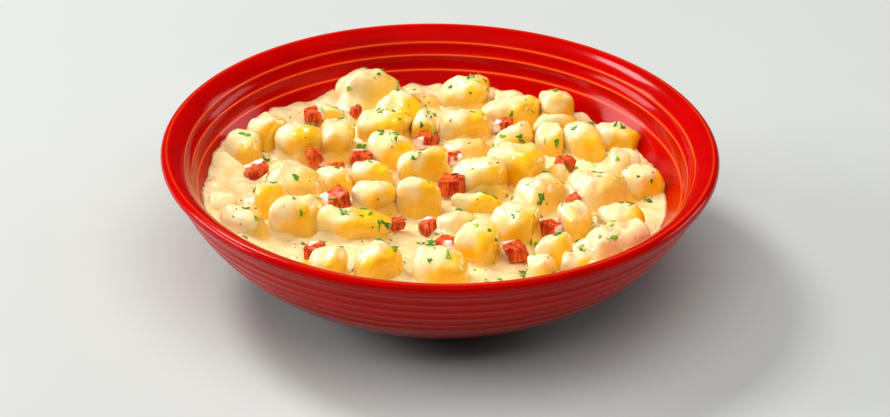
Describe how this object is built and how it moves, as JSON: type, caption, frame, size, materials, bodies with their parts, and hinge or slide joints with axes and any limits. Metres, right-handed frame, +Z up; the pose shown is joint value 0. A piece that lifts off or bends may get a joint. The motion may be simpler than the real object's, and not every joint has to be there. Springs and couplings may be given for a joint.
{
  "type": "potato gnocchi in a bowl",
  "caption": "Potato gnocchi with diced ham in a thick cream sauce, filling a wide round bowl with a rolled lip, ringed walls and a foot ring.",
  "frame": {"origin": "middle of the foot ring's underside, on the surface the bowl stands on", "axes": "+Z up out of the bowl along its axis; -Y towards the side the dish is served from"},
  "size_m": [0.25, 0.25, 0.063],
  "materials": {
    "red_glaze": "glossy red stoneware glaze",
    "cream_sauce": "thick wet cream sauce",
    "potato_dough": "boiled potato dough, wet with sauce",
    "ham": "cooked cured ham, moist"
  },
  "bodies": {
    "root": {"bowl": "red_glaze", "cream_sauce": "cream_sauce", "gnocchi_heap": "potato_dough", "ham_dice_01": "ham", "ham_dice_02": "ham", "ham_dice_03": "ham", "ham_dice_04": "ham", "ham_dice_05": "ham", "ham_dice_06": "ham", "ham_dice_07": "ham", "ham_dice_08": "ham", "ham_dice_09": "ham", "ham_dice_10": "ham", "ham_dice_11": "ham", "ham_dice_12": "ham", "ham_dice_13": "ham", "ham_dice_14": "ham", "ham_dice_15": "ham", "ham_dice_16": "ham", "ham_dice_17": "ham", "ham_dice_18": "ham", "ham_dice_19": "ham"}
  },
  "joints": []
}
